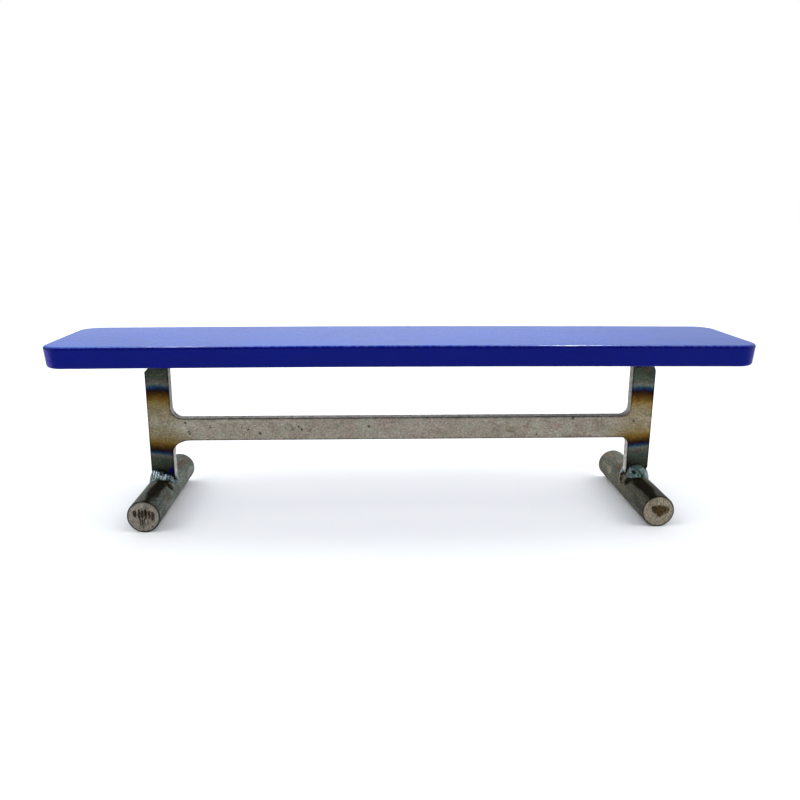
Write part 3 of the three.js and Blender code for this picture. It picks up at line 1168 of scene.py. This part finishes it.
def foot_front_bead(bm, side):
    """The bead along the leg's front face, on top of the bar."""
    bar = BARS[side]
    stops = FRONT_BEADS[side]
    first, last = stops[0][0], stops[-1][0]
    count = 72
    stations = []
    for k in range(count):
        x = first + (last - first) * k / (count - 1)
        height, reach, bulge, painted_glint = between(x, stops)
        stray = uneven(0.08, (x, 2.0, 0), 0.9, 31 + side)
        top = bar.top_at(x)
        toe_a = Vector((x, TOE_SINK - SHEET_HALF, top + height * stray))
        toe_b = Vector((x, -SHEET_HALF - reach * stray, top - 0.15))
        root = Vector((x, SHEET_SINK - SHEET_HALF, top - BAR_SINK))
        stations.append((toe_a, toe_b, root, bulge, painted_glint))
    add_bead(bm, stations, FRONT_LOOKS[side])


def foot_rear_bead(bm, side):
    """The bead along the leg's rear face, on top of the bar."""
    bar = BARS[side]
    half = 3.75
    middle = (side * LEG_MIDDLE * 2 + bar.x) / 3
    stations = []
    for t, share in run(44, 0.05):
        x = middle + half * t
        height = 2.4 * share * uneven(0.12, (x, 1.0, 0), 0.8, 31 + side)
        width = 3.6 * share * uneven(0.12, (x, 1.0, 5), 0.7, 37 + side)
        top = bar.top_at(x)
        toe_a = Vector((x, SHEET_HALF - TOE_SINK, top + height))
        toe_b = Vector((x, SHEET_HALF + width, top - 0.12))
        root = Vector((x, SHEET_HALF - SHEET_SINK, top - BAR_SINK))
        stations.append((toe_a, toe_b, root, 0.75 * share, 0.7))
    add_bead(bm, stations, Bead(52 + 3 * side, ripple=0.24, pitch=0.9, slant=0.3))


def foot_outer_bead(bm, side):
    """The bead on the leg's outer edge, down the bar's flank."""
    bar = BARS[side]
    face = side * (LEG_BOTTOM_OUTER - 0.3)
    half = SHEET_HALF + 0.9
    seat = math.asin((face - bar.x) / bar.radius)
    radius = bar.radius - 0.1
    stations = []
    for t, share in run(24, 0.08):
        y = half * t
        lean = uneven(0.15, (y, side, side), 0.9, 51)
        angle = seat + side * 2.2 / bar.radius * share * lean
        toe_a = Vector((face - side * TOE_SINK, y, bar.top_at(face) + 2.6 * share * lean))
        toe_b = Vector((bar.x + radius * math.sin(angle), y, bar.radius + radius * math.cos(angle)))
        root = Vector((face - side * 0.8, y, bar.top_at(face) - 0.9))
        stations.append((toe_a, toe_b, root, 0.5 * share, 0.2))
    add_bead(bm, stations, Bead(64 + 3 * side, ripple=0.14, pitch=1.0))


# The inner foot beads: places along a ridge that sags down the bar's flank, as
# (angle from the bar's top in degrees, y, half width, height), and how each ridge looks.
INNER_RIDGES = {
    -1: [
        (30, 3.0, 0.30, 0.15),
        (38, 2.2, 0.80, 0.70),
        (50, 1.2, 0.95, 0.85),
        (58, 0.2, 0.95, 0.80),
        (52, -0.9, 0.90, 0.75),
        (40, -1.9, 0.75, 0.60),
        (30, -2.6, 0.30, 0.15),
    ],
    1: [
        (30, 3.4, 0.25, 0.15),
        (40, 2.6, 0.60, 0.70),
        (52, 1.2, 0.62, 0.80),
        (62, 0.0, 0.62, 0.75),
        (72, -1.1, 0.58, 0.65),
        (80, -2.0, 0.48, 0.50),
        (84, -2.5, 0.20, 0.10),
    ],
}
INNER_LOOKS = {
    -1: Bead(61, ripple=0.16, pitch=1.2, rough=0.36, hollows=[(-71.6, 8.3, 0.6, 0.6)]),
    1: Bead(67, ripple=0.10, pitch=0.9, rough=0.12, gilt=1.0),
}


def foot_inner_bead(bm, side):
    """The bead on the leg's inner edge: a ridge that runs down the bar's inner flank."""
    bar = BARS[side]
    ridge = INNER_RIDGES[side]
    steps = 6
    places = []
    for near, far in zip(ridge, ridge[1:]):
        places += [[a + (b - a) * i / steps for a, b in zip(near, far)] for i in range(steps)]
    places.append(list(ridge[-1]))
    spots = []
    for degrees, y, half_width, height in places:
        angle = math.radians(degrees)
        outward = Vector((-side * math.sin(angle), 0, math.cos(angle)))
        centre = Vector((bar.x, y, bar.radius)) + outward * (bar.radius - 0.12)
        spots.append((centre, outward, half_width, height))
    stations = []
    for k, (centre, outward, half_width, height) in enumerate(spots):
        ahead = spots[min(k + 1, len(spots) - 1)][0] - spots[max(k - 1, 0)][0]
        aside = ahead.cross(outward).normalized()
        toe_a = centre + aside * half_width
        toe_b = centre - aside * half_width
        root = centre - outward * BAR_SINK
        stations.append((toe_a, toe_b, root, height, 0.35))
    add_bead(bm, stations, INNER_LOOKS[side])


def plate_bead(bm, side, way):
    """The bead along the leg's head, under the plate, in front where way is -1 and behind where it is 1."""
    low = LEG_INNER - 0.3
    high = HEAD_OUTER + 1.0
    face = way * SHEET_HALF
    stations = []
    for t, share in run(44, 0.05):
        x = side * (low + (high - low) * (t + 1) / 2)
        height = 3.7 * share * uneven(0.1, (x, way, 3), 0.9, 71 + side)
        width = 3.4 * share * uneven(0.1, (x, way, 8), 0.9, 73 + side)
        toe_a = Vector((x, face - way * TOE_SINK, PLATE_UNDERSIDE - height))
        toe_b = Vector((x, face + way * width, PLATE_UNDERSIDE + PLATE_TOE_SINK))
        root = Vector((x, face - way * SHEET_SINK, PLATE_UNDERSIDE + PLATE_SINK))
        stations.append((toe_a, toe_b, root, 0.5 * share, 0.35))
    add_bead(bm, stations, Bead(81 + 3 * side + way, ripple=0.22, pitch=0.9, slant=0.3))


def plate_corner_bead(bm, side):
    """The bead that fills the notch at the leg's outer top corner."""
    half = SHEET_HALF + 0.8
    inset, drop = HEADS[side][-1][0], HEADS[side][0][1]
    outer = LEG_TOP_OUTER - inset
    stations = []
    for t, share in run(24, 0.08):
        y = half * t
        down = 2.9 * share * uneven(0.1, (y, side, 1), 0.9, 91)
        toe_a = Vector((side * (outer + down * inset / drop - TOE_SINK), y, PLATE_UNDERSIDE - down))
        toe_b = Vector((side * (outer + 3.2 * share), y, PLATE_UNDERSIDE + PLATE_TOE_SINK))
        root = Vector((side * (outer - SHEET_SINK), y, PLATE_UNDERSIDE + PLATE_SINK))
        stations.append((toe_a, toe_b, root, 0.3 * share, 0.3))
    add_bead(bm, stations, Bead(95 + side, ripple=0.14, pitch=1.0))


# Each bead's joint and place, the function that lays it, and that function's last arguments.
BEADS = [
    ("foot", "front", foot_front_bead, ()),
    ("foot", "rear", foot_rear_bead, ()),
    ("foot", "inner", foot_inner_bead, ()),
    ("foot", "outer", foot_outer_bead, ()),
    ("plate", "front", plate_bead, (-1,)),
    ("plate", "rear", plate_bead, (1,)),
    ("plate", "outer", plate_corner_bead, ()),
]


def make_welds(side):
    word = SIDE_WORDS[side]
    for joint, place, lay, details in BEADS:
        bm = bmesh.new()
        lay(bm, side, *details)
        name = f"{word}_{joint}_bead_{place}"
        add_piece(name, bm, WELD, f"{word}_{joint}_weld_{place}")


make_plate()
make_sheet()
for side in SIDE_WORDS:
    make_bar(side)
    make_welds(side)

# ---------------------------------------------------------------- floor and light

# Half the floor's width, in metres.
FLOOR_HALF = 6.0
FLOOR_GREY = (0.8, 0.8, 0.8, 1.0)
FLOOR_IOR = 1.05


def make_floor():
    bm = bmesh.new()
    bmesh.ops.create_grid(bm, x_segments=2, y_segments=2, size=FLOOR_HALF)
    mesh = bpy.data.meshes.new("floor")
    bm.to_mesh(mesh)
    bm.free()
    shader = Shader("floor")
    rough = shader.vary(shader.noise(0.02, detail=2.0), 0.6, 0.7, 0.2)
    mesh.materials.append(shader.finish(FLOOR_GREY, 0.0, rough, FLOOR_IOR))
    floor = bpy.data.objects.new("floor", mesh)
    bpy.context.scene.collection.objects.link(floor)


def add_sun(name, direction, spread, strength, mirrors_only=False):
    """A far lamp in this direction, as wide in the sky as spread degrees."""
    data = bpy.data.lights.new(name, "SUN")
    data.energy = strength
    data.angle = math.radians(spread)
    lamp = bpy.data.objects.new(name, data)
    lamp.matrix_world = Vector(direction).to_track_quat("Z", "Y").to_matrix().to_4x4()
    lamp.visible_diffuse = not mirrors_only
    bpy.context.scene.collection.objects.link(lamp)


# How bright the sky is on each side.
SKY_FRONT = 0.08
SKY_SIDES = 0.26
SKY_BACK = 0.95
SKY_TOP = 0.64
SKY_TINT = (0.92, 1.0, 1.07, 1.0)


def make_sky():
    """A light tent: bright above and behind, and dark where the camera looks in."""
    world = bpy.data.worlds.new("studio")
    bpy.context.scene.world = world
    sky = Nodes(world)
    x, y, z = sky.split(sky.node("ShaderNodeTexCoord").outputs["Generated"])
    walls = sky.fade(y, -0.7, -0.2, SKY_FRONT, SKY_SIDES)
    back = sky.fade(y, 0.45, 0.75, 0.0, SKY_BACK)
    back = sky.times(back, sky.fade(x, 0.12, 0.50, 1.0, 0.78))
    back = sky.times(back, sky.fade(x, -0.50, -0.15, 0.90, 1.0))
    walls = sky.larger(walls, back)
    ceiling = sky.fade(z, 0.4, 0.7, 0.0, SKY_TOP)
    glow = sky.larger(walls, ceiling)
    tent = sky.node("ShaderNodeBackground", {"Color": SKY_TINT, "Strength": glow})
    plain = sky.node("ShaderNodeBackground", {"Color": (1, 1, 1, 1), "Strength": 1.0})
    seen = sky.node("ShaderNodeLightPath").outputs["Is Camera Ray"]
    mixed = sky.node("ShaderNodeMixShader", {"Fac": seen})
    sky.feed(mixed.inputs[1], tent.outputs[0])
    sky.feed(mixed.inputs[2], plain.outputs[0])
    output = sky.node("ShaderNodeOutputWorld")
    sky.feed(output.inputs["Surface"], mixed.outputs[0])


# How far across the sky the lamp for each side's edge glints stands, and its strength.
SPARKS = {-1: (-0.2394, 7.0), 1: (0.260, 10.5)}


def make_light():
    make_sky()
    add_sun("soft_back", (0, 0.82, 0.57), 45, 0.6)
    for side, word in SIDE_WORDS.items():
        add_sun(f"soft_{word}", (side * 0.80, 0.05, 0.60), 80, 2.5)
        add_sun(f"soft_front_{word}", (side * 0.5, -0.5, 0.7), 30, 0.15)
        across, strength = SPARKS[side]
        add_sun(f"spark_{word}", (across, 0.2, 0.945), 3, strength, mirrors_only=True)
    bpy.context.scene.view_settings.view_transform = "Standard"


make_floor()
make_light()
